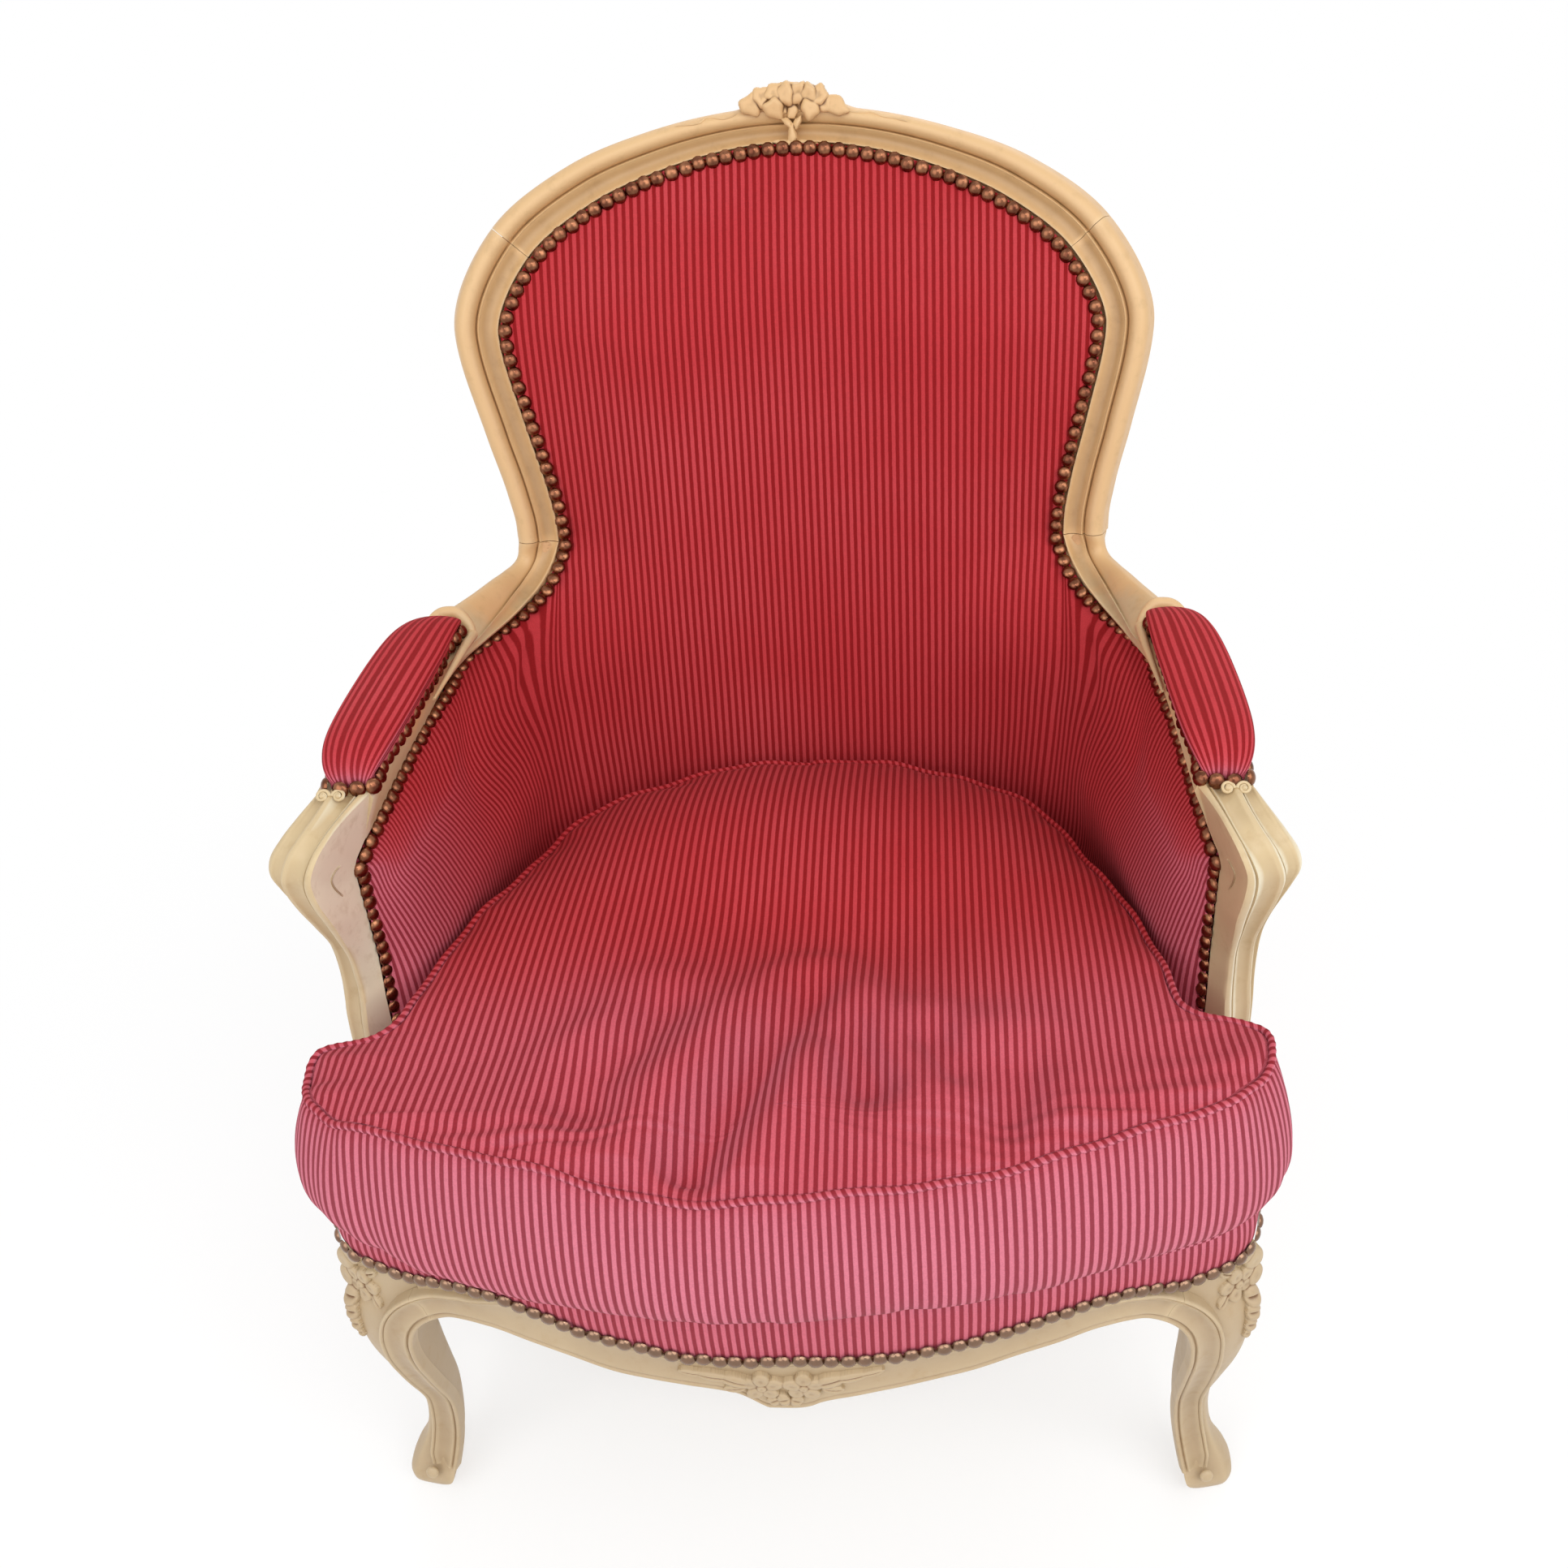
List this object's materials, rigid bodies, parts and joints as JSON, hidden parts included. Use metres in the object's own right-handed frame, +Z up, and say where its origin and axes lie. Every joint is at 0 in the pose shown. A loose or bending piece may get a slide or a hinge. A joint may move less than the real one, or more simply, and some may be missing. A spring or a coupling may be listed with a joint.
{
  "type": "bergere armchair",
  "caption": "Low upholstered armchair with a carved and painted wood frame, cabriole legs, padded arms, closed sides, close-nailed striped cloth and a loose T-shaped seat cushion.",
  "frame": {"origin": "on the floor, midway in width and depth", "axes": "+Z up, -Y towards the front, where the sitter faces, +X to the right as seen from the front"},
  "size_m": [0.715, 0.7406, 0.9822],
  "materials": {
    "painted_beech": "cream paint, rubbed and waxed, darker in the hollows",
    "raw_beech": "bare beech",
    "striped_cotton": "woven cotton in fine red stripes",
    "jute_webbing": "woven jute",
    "hessian": "coarse open weave",
    "horsehair": "curled hair stuffing"
  },
  "bodies": {
    "frame": {"top_rail": "painted_beech", "front_rail": "painted_beech", "back_seat_rail": "painted_beech", "left_back_post": "painted_beech", "left_arm": "painted_beech", "left_arm_support": "painted_beech", "left_front_leg": "painted_beech", "left_side_rail": "painted_beech", "right_back_post": "painted_beech", "right_arm": "painted_beech", "right_arm_support": "painted_beech", "right_front_leg": "painted_beech", "right_side_rail": "painted_beech", "lower_back_rail": "raw_beech", "left_front_corner_block": "raw_beech", "left_back_corner_block": "raw_beech", "left_top_rail_dowel": "raw_beech", "left_arm_front_dowel": "raw_beech", "left_arm_root_dowel": "raw_beech", "right_front_corner_block": "raw_beech", "right_back_corner_block": "raw_beech", "right_top_rail_dowel": "raw_beech", "right_arm_front_dowel": "raw_beech", "right_arm_root_dowel": "raw_beech", "left_inside_arm_pad": "striped_cotton", "left_outside_arm_cover": "striped_cotton", "left_arm_pad": "striped_cotton", "right_inside_arm_pad": "striped_cotton", "right_outside_arm_cover": "striped_cotton", "right_arm_pad": "striped_cotton", "inside_back_pad": "striped_cotton", "outside_back_cover": "striped_cotton", "seat_cover": "striped_cotton", "long_strap_1": "jute_webbing", "long_strap_2": "jute_webbing", "long_strap_3": "jute_webbing", "long_strap_4": "jute_webbing", "cross_strap_1": "jute_webbing", "cross_strap_2": "jute_webbing", "cross_strap_3": "jute_webbing", "cross_strap_4": "jute_webbing", "seat_hessian": "hessian", "seat_stuffing": "horsehair"},
    "cushion": {"seat_cushion": "striped_cotton", "cushion_top_piping": "striped_cotton", "cushion_bottom_piping": "striped_cotton"}
  },
  "joints": [
    {"name": "cushion_lift", "type": "slide", "parent": "frame", "child": "cushion", "axis": [0, 0, 1], "range_m": [0, 0.2]}
  ]
}
